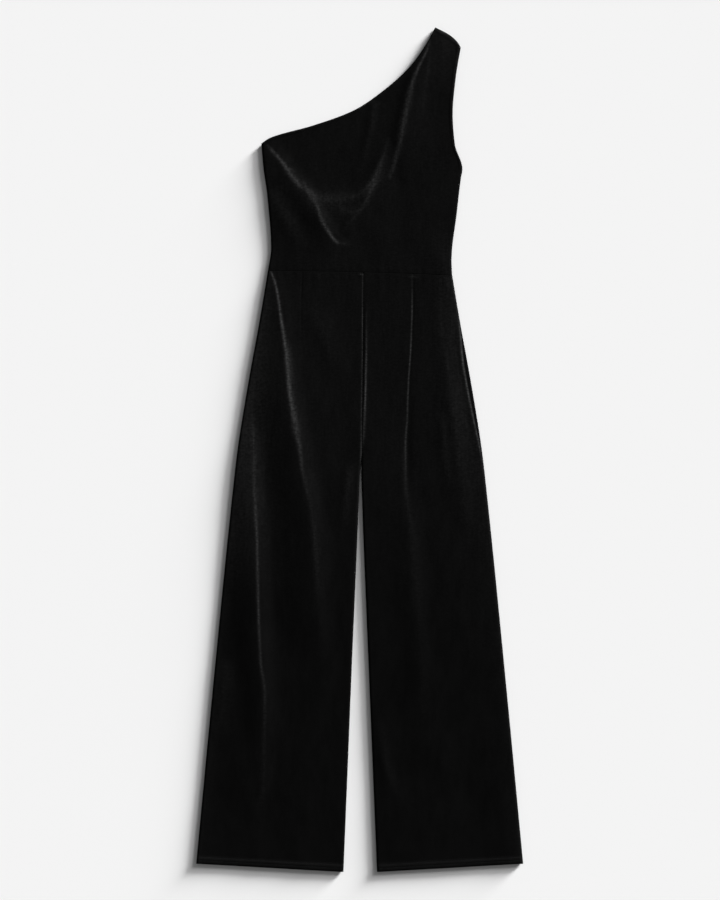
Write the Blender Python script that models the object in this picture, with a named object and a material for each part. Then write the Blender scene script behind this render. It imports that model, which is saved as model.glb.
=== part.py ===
"""One-shoulder wide-leg jumpsuit in stretch velvet, laid flat on its back.

The garment lies front up. +X is the wearer's left, +Y runs from the hems to the shoulder and +Z is up
from the surface it lies on. The origin is on that surface, under the middle of the garment. Lengths are
in millimetres until a mesh is made, and then in metres.

Each panel is one cloth wall: a grid of points on its outer face, worked out from the outline tables and
the folds, and the same points moved in by the cloth's thickness.
"""

from collections import namedtuple

import bmesh
import bpy
import numpy as np

METRES = 0.001  # of one millimetre

# The cloth and how it lies
CLOTH = 1.5  # stretch velvet, pile included
SEAM_GAP = 0.3  # between two panels that are sewn together
EDGE_HEIGHT = 8.0  # of the soft, unpressed fold at a closed seam, over its seam allowances
EDGE_RADIUS = EDGE_HEIGHT / 2
FRONT_HEIGHT = 6.4  # top of the front panels where they lie flat on the back
OPEN_EDGE_DROP = 0.35  # share of its height that the neck, armhole and hem edges settle by
SEAM_DIP = 2.2  # depth of the groove along a butted seam
SEAM_DIP_WIDTH = 5.0
HEM_DEPTH = 16.0  # turned up and twin-needle stitched
HEM_RISE = 0.8  # what the turned-up layer adds
HEM_STEP = 2.0  # over which it adds that
HIDDEN_INSET = 1.2  # how far the back's neck and armhole stay inside the front's

# The trousers: for each level down the leg, how far the side seam is from the middle of the garment,
# where the middle (centre seam or gap between the legs) is, and half the gap between the legs
LegLevel = namedtuple("LegLevel", "place y side middle half_gap")
LEG_LEVELS = (
    LegLevel("waist seam", 330, 170, 7, SEAM_GAP / 2),
    LegLevel("high hip", 240, 185, 6, SEAM_GAP / 2),
    LegLevel("full hip", 130, 205, 5, SEAM_GAP / 2),
    LegLevel("crotch", 0, 226, 4, SEAM_GAP / 2),
    LegLevel("top of the gap", -50, 232, 1.5, 1.5),
    LegLevel("knee", -425, 270, 1, 16.5),
    LegLevel("hem", -782, 304, 1, 31),
)
WAIST_CENTRE_Y = 328
WAIST_TILT = 4  # how much lower the waist seam ends at the left side than at its centre, by a slope
WAIST_BOW = 2  # and how much lower both its ends are than its centre
HEM_SIDE_Y = -766  # the hem is a straight line, higher at the side seam
HEM_INSEAM_Y = -781
CROTCH_Y = 0.0
CROTCH_SOFTENING = 24.0  # half the length over which the centre seam turns into two rolled inseams

# The bodice: its side edges from the waist up, and its neckline from the right underarm to the shoulder
EdgePoint = namedtuple("EdgePoint", "place x y")
RIGHT_SIDE = (
    EdgePoint("waist seam", -170, 330),
    EdgePoint("narrowest", -164, 372),
    EdgePoint("ribs", -171, 470),
    EdgePoint("bust", -178, 520),
    EdgePoint("underarm", -182, 566),
)
LEFT_SIDE = (
    EdgePoint("waist seam", 171, 322),
    EdgePoint("narrowest", 170, 350),
    EdgePoint("ribs", 180, 440),
    EdgePoint("bust", 187, 500),
    EdgePoint("underarm", 190, 519),
    EdgePoint("armhole foot", 176, 565),
    EdgePoint("armhole middle", 172, 620),
    EdgePoint("armhole top", 178, 690),
    EdgePoint("shoulder point", 187, 744),
)
NECKLINE = (
    EdgePoint("right underarm", -182, 566),
    EdgePoint("below the bust line", -165, 577),
    EdgePoint("bust", -88, 599),
    EdgePoint("centre", -12, 627),
    EdgePoint("collarbone", 45, 665),
    EdgePoint("towards the neck", 94, 710),
    EdgePoint("neck", 124, 752),
    EdgePoint("neck point", 140, 781),
)
SHOULDER = (
    EdgePoint("neck point", 140, 781),
    EdgePoint("shoulder middle", 165, 768),
    EdgePoint("shoulder slope", 181, 754),
    EdgePoint("shoulder point", 187, 744),
)
LEFT_UNDERARM_Y = 519
UNDERARM_SOFTENING = 12.0  # over which a closed seam turns into the open armhole
STRAP_SOFTENING = 7.0  # over which the open neckline turns into the closed shoulder
NECK_SHARE = 0.87  # of the bodice's columns that end at the neckline, the rest at the shoulder

# Folds in the front: height of the crest, how wide its left and right flanks are (seen along its run),
# and the run itself, as points with the share of the height at each
Fold = namedtuple("Fold", "name height left right run")
RunPoint = namedtuple("RunPoint", "x y share")
BODICE_FOLDS = (
    Fold("drag line from the right underarm", 7.0, 12, 34, (
        RunPoint(-172, 561, 0.3), RunPoint(-124, 502, 0.8), RunPoint(-91, 460, 1.0),
        RunPoint(-68, 418, 1.0), RunPoint(-42, 387, 0.5), RunPoint(-22, 378, 0.0))),
    Fold("strap fold", 6.5, 34, 12, (
        RunPoint(131, 752, 0.5), RunPoint(100, 676, 0.9), RunPoint(84, 608, 1.0),
        RunPoint(75, 558, 0.8), RunPoint(60, 508, 0.2), RunPoint(56, 490, 0.0))),
    Fold("foot of the cowl", 4.5, 12, 30, (
        RunPoint(-88, 456, 0.2), RunPoint(-60, 452, 0.7), RunPoint(-18, 456, 0.8),
        RunPoint(24, 482, 1.0), RunPoint(46, 540, 0.7), RunPoint(54, 580, 0.0))),
    Fold("second drape under the cowl", 3.0, 12, 24, (
        RunPoint(-44, 392, 0.3), RunPoint(-20, 414, 0.7), RunPoint(12, 450, 0.8),
        RunPoint(30, 486, 0.3), RunPoint(36, 500, 0.0))),
    Fold("soft roll under the drag line", 2.6, 26, 22, (
        RunPoint(-160, 486, 0.2), RunPoint(-136, 440, 1.0), RunPoint(-118, 400, 0.7),
        RunPoint(-100, 362, 0.0))),
)
RIGHT_LEG_FOLDS = (
    Fold("long fold from the waist", 6.5, 14, 60, (
        RunPoint(-168, 330, 0.5), RunPoint(-151, 268, 0.7), RunPoint(-139, 205, 0.9),
        RunPoint(-127, 100, 1.0), RunPoint(-115, 0, 0.8), RunPoint(-94, -134, 0.6),
        RunPoint(-85, -300, 0.4), RunPoint(-72, -400, 0.0))),
    Fold("outer fold of the leg", 5.5, 16, 36, (
        RunPoint(-198, 80, 0.0), RunPoint(-201, -36, 0.8), RunPoint(-198, -163, 1.0),
        RunPoint(-192, -333, 1.0), RunPoint(-180, -460, 0.8), RunPoint(-184, -580, 0.5),
        RunPoint(-196, -690, 0.0))),
    Fold("puff below the dart", 2.6, 20, 20, (
        RunPoint(-76, 262, 0.2), RunPoint(-66, 220, 1.0), RunPoint(-50, 170, 0.8),
        RunPoint(-40, 110, 0.0))),
    Fold("drag line at the inseam", 2.4, 12, 16, (
        RunPoint(-18, -14, 0.0), RunPoint(-22, -70, 1.0), RunPoint(-34, -150, 0.0))),
)
LEFT_LEG_FOLDS = (
    Fold("crease below the dart", -1.9, 8, 8, (
        RunPoint(98, 330, 0.3), RunPoint(97, 220, 1.0), RunPoint(93, 120, 1.0),
        RunPoint(86, -20, 0.8), RunPoint(90, -110, 0.0))),
    Fold("long roll beside the crease", 3.6, 20, 40, (
        RunPoint(74, 30, 0.0), RunPoint(78, -75, 0.7), RunPoint(85, -170, 1.0),
        RunPoint(93, -290, 0.9), RunPoint(101, -430, 0.6), RunPoint(110, -600, 0.0))),
    Fold("hip roll", 2.4, 16, 26, (
        RunPoint(172, 200, 0.0), RunPoint(180, 80, 1.0), RunPoint(196, -120, 0.8),
        RunPoint(206, -260, 0.0))),
    Fold("drag line above the hem", 2.0, 14, 18, (
        RunPoint(40, -520, 0.0), RunPoint(50, -590, 1.0), RunPoint(64, -640, 0.0))),
)

# How finely the walls are divided
BODICE_GRID = {"neck_columns": 30, "strap_columns": 4, "rows": 34}
BACK_BODICE_GRID = {"neck_columns": 10, "strap_columns": 3, "rows": 12}
LEG_GRID = {"columns": 17, "rows": 22}
BACK_LEG_GRID = {"columns": 6, "rows": 16}
SEAM_ROWS = (4.0, 10.0)  # extra rows beside the waist seam
ROLL_ANGLES = (0, 45, 90)  # where the points of a rolled edge lie
RUN_SAMPLES = 60
FOLD_MERGING = 2.5  # 1 would add crossing folds up, and a high number would keep only the higher one
OUTLINE_SAMPLES = 200

VELVET_COLOUR = (0.004, 0.004, 0.0045, 1.0)
VELVET_ROUGHNESS = 0.85
VELVET_SHEEN = 0.35


def curve_through(stations, values):
    """A smooth curve through a table's values that never swings past them."""
    order = np.argsort(stations)
    x, y = np.asarray(stations, float)[order], np.asarray(values, float)[order]
    rise = np.diff(y) / np.diff(x)
    turns = rise[1:] * rise[:-1] <= 0
    mean = 2 * rise[1:] * rise[:-1] / np.where(turns, 1.0, rise[1:] + rise[:-1])
    slope = np.concatenate([rise[:1], np.where(turns, 0.0, mean), rise[-1:]])

    def at(station):
        station = np.clip(station, x[0], x[-1])
        left = np.clip(np.searchsorted(x, station) - 1, 0, len(x) - 2)
        span = x[left + 1] - x[left]
        t = (station - x[left]) / span
        return (
            (1 + 2 * t) * (1 - t) ** 2 * y[left]
            + t * (1 - t) ** 2 * span * slope[left]
            + t**2 * (3 - 2 * t) * y[left + 1]
            + t**2 * (t - 1) * span * slope[left + 1]
        )

    return at


def smooth_step(low, high, value):
    t = np.clip((value - low) / (high - low), 0, 1)
    return t * t * (3 - 2 * t)


def waist_seam(x):
    """The waist seam's Y: highest at the wearer's right side, lower towards the left."""
    share = x / LEG_LEVELS[0].side
    return WAIST_CENTRE_Y - WAIST_TILT * share - WAIST_BOW * share**2


def points_along(table, count):
    """Points evenly spaced along the smooth curve through a table's places.

    Returned with how far along the curve each point is, and each of the table's places.
    """
    x = np.array([place.x for place in table], float)
    y = np.array([place.y for place in table], float)
    stations = np.concatenate([[0], np.cumsum(np.hypot(np.diff(x), np.diff(y)))])
    along = np.linspace(0, stations[-1], count)
    points = np.stack([curve_through(stations, x)(along), curve_through(stations, y)(along)], -1)
    return points, along, stations


def fold_height(x, y, folds):
    """How far the folds lift the cloth: one soft crest each, merging where two meet, and creases below."""
    raised, creased = np.zeros_like(x), np.zeros_like(x)
    for fold in folds:
        crest, along, stations = points_along(fold.run, RUN_SAMPLES)
        share = curve_through(stations, [point.share for point in fold.run])(along)
        ahead = np.gradient(crest, axis=0)
        ahead /= np.linalg.norm(ahead, axis=1, keepdims=True)
        from_crest = np.stack([x, y], -1)[..., None, :] - crest
        nearest = np.argmin(np.linalg.norm(from_crest, axis=-1), axis=-1)
        offset = np.take_along_axis(from_crest, nearest[..., None, None], axis=-2)[..., 0, :]
        side = ahead[nearest, 0] * offset[..., 1] - ahead[nearest, 1] * offset[..., 0]
        flank = np.where(side > 0, fold.left, fold.right)
        distance = np.linalg.norm(offset, axis=-1)
        height = fold.height * share[nearest] * np.exp(-((distance / flank) ** 2))
        raised += np.maximum(height, 0) ** FOLD_MERGING
        creased += np.minimum(height, 0)
    return raised ** (1 / FOLD_MERGING) + creased


def rolled(distance):
    """Share of its height that a rolled edge has lost at a distance from the edge."""
    inside = np.clip(1 - distance / EDGE_RADIUS, 0, 1)
    return 1 - np.sqrt(1 - inside**2)


def roll_distances():
    return EDGE_RADIUS * (1 - np.cos(np.radians(ROLL_ANGLES)))


def groove(distance, depth=SEAM_DIP, width=SEAM_DIP_WIDTH):
    return depth * np.exp(-((distance / width) ** 2))


def clear_of_roll(distance):
    """0 on a rolled edge, 1 clear of it: a groove ends before the closed seam that it runs into."""
    return smooth_step(EDGE_RADIUS, 3 * EDGE_RADIUS, distance)


def column_rule(columns):
    """Columns across a panel as a fixed distance and a share of its width, close together at both edges."""
    roll = roll_distances()
    share = np.linspace(0, 1, columns + 1)[1:-1]
    fixed = np.concatenate([roll, EDGE_RADIUS * (1 - 2 * share), -roll[::-1]])
    return fixed, np.concatenate([0 * roll, share, 1 + 0 * roll])


def front_face(points, folds, edge_loss, dip):
    """Outer face of a front panel: over the back, with its folds, grooves and rolled edges."""
    x, y = points[..., 0], points[..., 1]
    top = FRONT_HEIGHT + fold_height(x, y, folds) - dip
    rim = EDGE_RADIUS + SEAM_GAP / 2
    return np.dstack([x, y, top - edge_loss * (top - rim)])


def back_face(points, edge_loss):
    """Outer face of a back panel: flat on the surface below, with its closed edges rolled up."""
    rim = EDGE_RADIUS - SEAM_GAP / 2
    return np.dstack([points[..., 0], points[..., 1], edge_loss * rim])


def leg_layout(side, columns, rows):
    """A leg panel as rows from the waist to the hem and columns from the side seam to the inner edge."""
    levels = [level.y for level in LEG_LEVELS]
    side_seam = curve_through(levels, [level.side for level in LEG_LEVELS])
    middle = curve_through(levels, [level.middle for level in LEG_LEVELS])
    half_gap = curve_through(levels, [level.half_gap for level in LEG_LEVELS])
    sign = {"right": -1, "left": 1}[side]
    fixed, share = column_rule(columns)

    waist_y = LEG_LEVELS[0].y
    waist_width = side_seam(waist_y) - sign * middle(waist_y)
    waist_x = sign * (side_seam(waist_y) - fixed - share * waist_width)
    top = waist_seam(waist_x) - SEAM_GAP / 2
    hem = HEM_SIDE_Y + share * (HEM_INSEAM_Y - HEM_SIDE_Y)
    length = waist_y - HEM_SIDE_Y
    extra = np.array(SEAM_ROWS + (length - HEM_DEPTH, length - HEM_DEPTH + HEM_STEP)) / length
    down = np.sort(np.append(np.linspace(0, 1, rows + 1), extra))
    y = top + down[:, None] * (hem - top)

    outer, inner = sign * side_seam(y), middle(y) + sign * half_gap(y)
    width = np.abs(outer - inner)
    from_side = fixed + share * width
    from_hem = (1 - down[:, None]) * length + 0 * y
    return np.dstack([outer - sign * from_side, y]), from_side, width - from_side, from_hem


def inseam_closing(y):
    """0 where the two legs are sewn to each other, 1 where the inseam is an edge of its own."""
    return 1 - smooth_step(CROTCH_Y - 2 * CROTCH_SOFTENING, CROTCH_Y, y)


def leg_edge_loss(y, from_side, from_inner, from_hem):
    kept = 1 - rolled(from_side)
    kept *= 1 - rolled(from_inner) * inseam_closing(y)
    kept *= 1 - rolled(from_hem) * OPEN_EDGE_DROP
    return 1 - kept


def leg_front(side, folds):
    points, from_side, from_inner, from_hem = leg_layout(side, **LEG_GRID)
    x, y = points[..., 0], points[..., 1]
    centre_seam = groove(from_inner) * (1 - inseam_closing(y))
    hem_rise = HEM_RISE * (1 - smooth_step(HEM_DEPTH - HEM_STEP, HEM_DEPTH, from_hem))
    waist_groove = groove(waist_seam(x) - y) * clear_of_roll(from_side)
    dip = np.maximum(centre_seam, waist_groove) - hem_rise
    loss = leg_edge_loss(y, from_side, from_inner, from_hem)
    return front_face(points, folds, loss, dip), loss


def leg_back(side):
    points, from_side, from_inner, from_hem = leg_layout(side, **BACK_LEG_GRID)
    loss = leg_edge_loss(points[..., 1], from_side, from_inner, from_hem)
    return back_face(points, loss), loss


def top_edge(share):
    """The bodice's upper edge: its neckline, and then the shoulder."""
    neckline = points_along(NECKLINE, OUTLINE_SAMPLES)[0]
    shoulder = points_along(SHOULDER, OUTLINE_SAMPLES)[0]
    stations = np.concatenate([
        np.linspace(0, NECK_SHARE, OUTLINE_SAMPLES), np.linspace(NECK_SHARE, 1, OUTLINE_SAMPLES)[1:]])
    edge = np.concatenate([neckline, shoulder[1:]])
    return np.stack([np.interp(share, stations, edge[:, axis]) for axis in (0, 1)], -1)


def side_edge(table, rows, inset_above=None, inset=0.0):
    """A bodice side edge from the waist up, drawn in a little above its underarm."""
    y = table[0].y + rows * (table[-1].y - inset - table[0].y)
    x = curve_through([place.y for place in table], [place.x for place in table])(y)
    if inset_above is not None:
        x = x - inset * smooth_step(inset_above, inset_above + UNDERARM_SOFTENING, y)
    return np.stack([x, y], -1)


def bodice_layout(neck_columns, strap_columns, rows, inset):
    """The bodice as rows from its waist up to the neckline and columns from its right side to its left."""
    width = LEFT_SIDE[-1].x - RIGHT_SIDE[-1].x
    height = LEFT_SIDE[-1].y - LEFT_SIDE[0].y
    roll = roll_distances()
    neck = np.linspace(roll[-1] / width, NECK_SHARE, neck_columns + 1)[1:]
    strap = np.linspace(NECK_SHARE, 1 - roll[-1] / width, strap_columns + 1)[1:-1]
    u = np.concatenate([roll / width, neck, strap, 1 - roll[::-1] / width])
    body = np.append(np.linspace(0, 1 - roll[-1] / height, rows), np.array(SEAM_ROWS) / height)
    v = np.concatenate([np.sort(body), 1 - roll[-2::-1] / height])

    waist_x = RIGHT_SIDE[0].x + u * (LEFT_SIDE[0].x - RIGHT_SIDE[0].x)
    foot = np.stack([waist_x, waist_seam(waist_x) + SEAM_GAP / 2], -1)
    top = top_edge(u) - [0, inset]
    right = side_edge(RIGHT_SIDE, v, inset=inset)
    left = side_edge(LEFT_SIDE, v, LEFT_UNDERARM_Y, inset)
    across, up = u[None, :, None], v[:, None, None]
    corners = (
        (1 - across) * (1 - up) * foot[0] + across * (1 - up) * foot[-1]
        + (1 - across) * up * top[0] + across * up * top[-1]
    )
    points = (
        (1 - up) * foot + up * top + (1 - across) * right[:, None] + across * left[:, None] - corners
    )
    return points, u * width, (1 - u) * width, (1 - v) * height


def closing(low, high, value):
    """How far an edge rolls over: fully where it is closed, below low, and little where it is open."""
    return 1 - (1 - OPEN_EDGE_DROP) * smooth_step(low, high, value)


def bodice_edge_loss(points, from_right, from_left, from_top):
    """The side seams and the shoulder are closed, and the armhole and the neckline are open."""
    armhole_start, armhole_open = LEFT_UNDERARM_Y - UNDERARM_SOFTENING, LEFT_UNDERARM_Y + UNDERARM_SOFTENING
    left = closing(armhole_start, armhole_open, points[..., 1])
    strap = (1 - NECK_SHARE) * (from_right[-1] - from_right[0])
    top = closing(strap - STRAP_SOFTENING, strap + STRAP_SOFTENING, from_left)
    kept = (1 - rolled(from_right)) * (1 - rolled(from_left) * left) * (1 - rolled(from_top)[:, None] * top)
    return 1 - kept


def bodice_front():
    points, from_right, from_left, from_top = bodice_layout(**BODICE_GRID, inset=0.0)
    loss = bodice_edge_loss(points, from_right, from_left, from_top)
    waist_groove = groove(points[..., 1] - waist_seam(points[..., 0]))
    waist_groove *= clear_of_roll(np.minimum(from_right, from_left))
    return front_face(points, BODICE_FOLDS, loss, waist_groove), loss


def bodice_back():
    points, *distances = bodice_layout(**BACK_BODICE_GRID, inset=HIDDEN_INSET)
    loss = bodice_edge_loss(points, *distances)
    return back_face(points, loss), loss


def outward_normals(outer, edge_loss, up):
    """Unit normals of a panel's outer face: level at a rolled edge, upright where it meets a neighbour."""
    normal = np.cross(np.gradient(outer, axis=1), np.gradient(outer, axis=0))
    normal *= np.sign(normal[..., 2:3]) * up
    level = np.zeros_like(outer)
    every = slice(None)
    borders = (
        ((every, 0), (every, 1)),
        ((every, -1), (every, -2)),
        ((0, every), (1, every)),
        ((-1, every), (-2, every)),
    )
    for border, inside in borders:
        run = np.gradient(outer[border], axis=0)
        out = np.stack([-run[:, 1], run[:, 0], 0 * run[:, 0]], -1)
        out *= np.sign((out * (outer[border] - outer[inside])).sum(-1, keepdims=True))
        level[border] += edge_loss[border][:, None] * out / np.linalg.norm(out, axis=-1, keepdims=True)
    for border, _ in borders:
        lean = np.minimum(np.linalg.norm(level[border], axis=-1, keepdims=True), 1)
        normal[border] = level[border] + (1 - lean) * [0, 0, up]
    return normal / np.linalg.norm(normal, axis=-1, keepdims=True)


def make_panel(name, outer, edge_loss, up):
    """One cloth wall: its outer grid, the same grid moved in by the cloth's thickness, and their rims."""
    inner = outer - CLOTH * outward_normals(outer, edge_loss, up)
    rows, columns = outer.shape[:2]
    mesh = bmesh.new()
    skins = [
        [[mesh.verts.new(point * METRES) for point in row] for row in grid] for grid in (outer, inner)
    ]
    for grid in skins:
        for i in range(rows - 1):
            for j in range(columns - 1):
                mesh.faces.new((grid[i][j], grid[i][j + 1], grid[i + 1][j + 1], grid[i + 1][j]))
    last_row, last_column = rows - 1, columns - 1
    loop = (
        [(0, j) for j in range(last_column)]
        + [(i, last_column) for i in range(last_row)]
        + [(last_row, j) for j in range(last_column, 0, -1)]
        + [(i, 0) for i in range(last_row, 0, -1)]
    )
    outer_skin, inner_skin = skins
    for (i, j), (k, m) in zip(loop, loop[1:] + loop[:1]):
        mesh.faces.new((outer_skin[i][j], outer_skin[k][m], inner_skin[k][m], inner_skin[i][j]))
    bmesh.ops.recalc_face_normals(mesh, faces=mesh.faces)
    data = bpy.data.meshes.new(name)
    mesh.to_mesh(data)
    mesh.free()
    data.shade_smooth()
    data.materials.append(velvet(name))
    panel = bpy.data.objects.new(name, data)
    bpy.context.scene.collection.objects.link(panel)
    return panel


def velvet(piece):
    material = bpy.data.materials.new(piece + "_velvet")
    material.use_nodes = True
    shader = material.node_tree.nodes["Principled BSDF"]
    shader.inputs["Base Color"].default_value = VELVET_COLOUR
    shader.inputs["Roughness"].default_value = VELVET_ROUGHNESS
    shader.inputs["Metallic"].default_value = 0.0
    shader.inputs["Sheen Weight"].default_value = VELVET_SHEEN
    return material


def make_jumpsuit():
    for existing in list(bpy.data.objects):
        bpy.data.objects.remove(existing, do_unlink=True)
    garment = bpy.data.objects.new("jumpsuit", None)
    bpy.context.scene.collection.objects.link(garment)
    panels = (
        make_panel("bodice_front", *bodice_front(), up=1),
        make_panel("bodice_back", *bodice_back(), up=-1),
        make_panel("leg_front_right", *leg_front("right", RIGHT_LEG_FOLDS), up=1),
        make_panel("leg_front_left", *leg_front("left", LEFT_LEG_FOLDS), up=1),
        make_panel("leg_back_right", *leg_back("right"), up=-1),
        make_panel("leg_back_left", *leg_back("left"), up=-1),
    )
    for panel in panels:
        panel.parent = garment


make_jumpsuit()
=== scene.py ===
"""One-shoulder wide-leg jumpsuit in black stretch velvet, laid flat on its back with its front up.

+X is the wearer's left, +Y runs from the hems to the shoulder, and +Z is up from the surface below.
Lengths are in millimetres until a mesh is made.
"""

import math
from collections import namedtuple

import bmesh
import bpy
import numpy as np
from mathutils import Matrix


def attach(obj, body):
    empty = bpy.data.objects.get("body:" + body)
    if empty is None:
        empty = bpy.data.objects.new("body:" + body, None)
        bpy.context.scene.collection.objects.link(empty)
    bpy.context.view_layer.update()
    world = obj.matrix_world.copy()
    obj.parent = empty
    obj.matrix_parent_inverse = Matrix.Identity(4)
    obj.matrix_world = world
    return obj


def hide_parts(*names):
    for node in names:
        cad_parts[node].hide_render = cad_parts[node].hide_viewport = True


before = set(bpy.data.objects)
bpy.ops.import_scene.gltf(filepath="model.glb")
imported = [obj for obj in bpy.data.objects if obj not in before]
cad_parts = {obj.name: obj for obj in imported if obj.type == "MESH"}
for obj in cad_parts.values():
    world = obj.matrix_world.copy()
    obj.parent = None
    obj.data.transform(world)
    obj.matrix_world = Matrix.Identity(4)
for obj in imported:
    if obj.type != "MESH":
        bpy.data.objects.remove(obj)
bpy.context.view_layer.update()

# ---------------------------------------------------------------------------------------------------
# Back trouser legs
# The two back panels of the wide-leg trousers, cut in black stretch velvet. They lie flat on the
# surface and are sewn to each other down the centre back, and to the fronts at the sides and inseams.
# ---------------------------------------------------------------------------------------------------
METRES = 0.001  # of one millimetre
CLOTH = 1.5  # stretch velvet with its pile
SEAM_GAP = 0.3  # between two panels that are sewn together
BACK_SEAM_ASIDE = 1.5  # the backs' waist and centre seams don't lie quite under the fronts'
EDGE_RADIUS = 4.0  # of the soft, unpressed fold at a closed seam
OPEN_EDGE_DROP = 0.35  # share of its height that an open edge settles by

# For each level down the leg, how far the side seam is from the garment's middle line, where the
# centre seam or the middle of the gap between the legs is, and half of that gap
LegLevel = namedtuple("LegLevel", "place y side middle half_gap")
LEG_LEVELS = (
    LegLevel("waist seam", 330, 170, 7, SEAM_GAP / 2),
    LegLevel("high hip", 240, 185, 6, SEAM_GAP / 2),
    LegLevel("full hip", 130, 205, 5, SEAM_GAP / 2),
    LegLevel("crotch", 0, 226, 4, SEAM_GAP / 2),
    LegLevel("top of the gap", -50, 232, 1.5, 1.5),
    LegLevel("knee", -425, 270, 1, 16.5),
    LegLevel("hem", -782, 304, 1, 31),
)
WAIST_CENTRE_Y = 328
WAIST_TILT = 4  # how much lower the waist seam ends at the left side than at its centre, by a slope
WAIST_BOW = 2  # and how much lower both its ends are than its centre
HEM_SIDE_Y = -766  # the hem is a straight line, higher at the side seam
HEM_INSEAM_Y = -781
CROTCH_SOFTENING = 24.0  # half the length over which the centre seam turns into two rolled inseams
HEM_DEPTH = 16.0  # turned up and sewn with a twin needle
HEM_RISE = 0.8  # what the turned-up layer adds
HEM_STEP = 7.0  # over which it adds that
HEM_ROWS = (6.5, 12.5)  # how far above the edge its two rows of stitches are
STITCH_DIP = 0.17  # how deep a row of stitches pulls the pile down
STITCH_DIP_WIDTH = 1.5

ROLL_ANGLES = (0, 22.5, 45, 67.5, 90)  # where the points of a rolled edge lie
ROWS_BESIDE_WAIST = (0.8, 1.6, 2.4, 3.4, 4.6, 6.0, 8.0, 10.5)
ROWS_ABOVE_HEM = tuple(np.arange(1.0, 20.0, 1.0))


def curve_through(stations, values):
    """A smooth curve through a table's values that never swings past them."""
    order = np.argsort(stations)
    x, y = np.asarray(stations, float)[order], np.asarray(values, float)[order]
    rise = np.diff(y) / np.diff(x)
    turns = rise[1:] * rise[:-1] <= 0
    mean = 2 * rise[1:] * rise[:-1] / np.where(turns, 1.0, rise[1:] + rise[:-1])
    slope = np.concatenate([rise[:1], np.where(turns, 0.0, mean), rise[-1:]])

    def at(station):
        station = np.clip(station, x[0], x[-1])
        left = np.clip(np.searchsorted(x, station) - 1, 0, len(x) - 2)
        span = x[left + 1] - x[left]
        t = (station - x[left]) / span
        return (
            (1 + 2 * t) * (1 - t) ** 2 * y[left]
            + t * (1 - t) ** 2 * span * slope[left]
            + t**2 * (3 - 2 * t) * y[left + 1]
            + t**2 * (t - 1) * span * slope[left + 1]
        )

    return at


def smooth_step(low, high, value):
    t = np.clip((value - low) / (high - low), 0, 1)
    return t * t * (3 - 2 * t)


def waist_seam(x):
    """The waist seam's Y: highest at the wearer's right side, lower towards the left."""
    share = x / LEG_LEVELS[0].side
    return WAIST_CENTRE_Y - WAIST_TILT * share - WAIST_BOW * share**2


def rolled(distance):
    """Share of its height that a rolled edge has lost at a distance from the edge."""
    inside = np.clip(1 - distance / EDGE_RADIUS, 0, 1)
    return 1 - np.sqrt(1 - inside**2)


def roll_distances():
    return EDGE_RADIUS * (1 - np.cos(np.radians(ROLL_ANGLES)))


def groove(distance, depth, width):
    return depth * np.exp(-((distance / width) ** 2))


def leg_layout(side, columns, rows, aside=0.0):
    """A leg panel as rows from the waist to the hem and columns from the side seam to the inner edge.

    A back panel's waist seam and centre seam lie a little aside.
    """
    levels = [level.y for level in LEG_LEVELS]
    side_seam, middle, half_gap = (
        curve_through(levels, [getattr(level, line) for level in LEG_LEVELS])
        for line in ("side", "middle", "half_gap")
    )
    sign = {"right": -1, "left": 1}[side]
    roll = roll_distances()
    even = np.linspace(0, 1, columns + 1)[1:-1]
    fixed = np.concatenate([roll, EDGE_RADIUS * (1 - 2 * even), -roll[::-1]])
    share = np.concatenate([0 * roll, even, 1 + 0 * roll])

    waist_y = LEG_LEVELS[0].y
    waist_width = side_seam(waist_y) - sign * middle(waist_y)
    waist_x = sign * (side_seam(waist_y) - fixed - share * waist_width)
    top = waist_seam(waist_x) - SEAM_GAP / 2 - aside
    hem = HEM_SIDE_Y + share * (HEM_INSEAM_Y - HEM_SIDE_Y)
    length = waist_y - HEM_SIDE_Y
    extra = np.append(ROWS_BESIDE_WAIST, length - np.array(ROWS_ABOVE_HEM)) / length
    down = np.unique(np.append(np.linspace(0, 1, rows + 1), extra))
    y = top + down[:, None] * (hem - top)

    outer = sign * side_seam(y)
    inner = middle(y) + sign * half_gap(y) + aside * (1 - inseam_closing(y))
    width = np.abs(outer - inner)
    from_side = fixed + share * width
    from_hem = (1 - down[:, None]) * length + 0 * y
    return np.dstack([outer - sign * from_side, y]), from_side, width - from_side, from_hem


def inseam_closing(y):
    """0 where the two legs are sewn to each other, 1 where the inseam is an edge of its own."""
    return 1 - smooth_step(-2 * CROTCH_SOFTENING, 0, y)


def leg_edge_loss(y, from_side, from_inner, from_hem):
    kept = 1 - rolled(from_side)
    kept *= 1 - rolled(from_inner) * inseam_closing(y)
    kept *= 1 - rolled(from_hem) * OPEN_EDGE_DROP
    return 1 - kept


def hem_relief(from_hem):
    """The turned-up hem: a step up at its raw edge, and a dip along each row of stitches."""
    relief = HEM_RISE * (1 - smooth_step(HEM_DEPTH - HEM_STEP, HEM_DEPTH, from_hem))
    for row in HEM_ROWS:
        relief = relief - groove(from_hem - row, STITCH_DIP, STITCH_DIP_WIDTH)
    return relief


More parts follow.
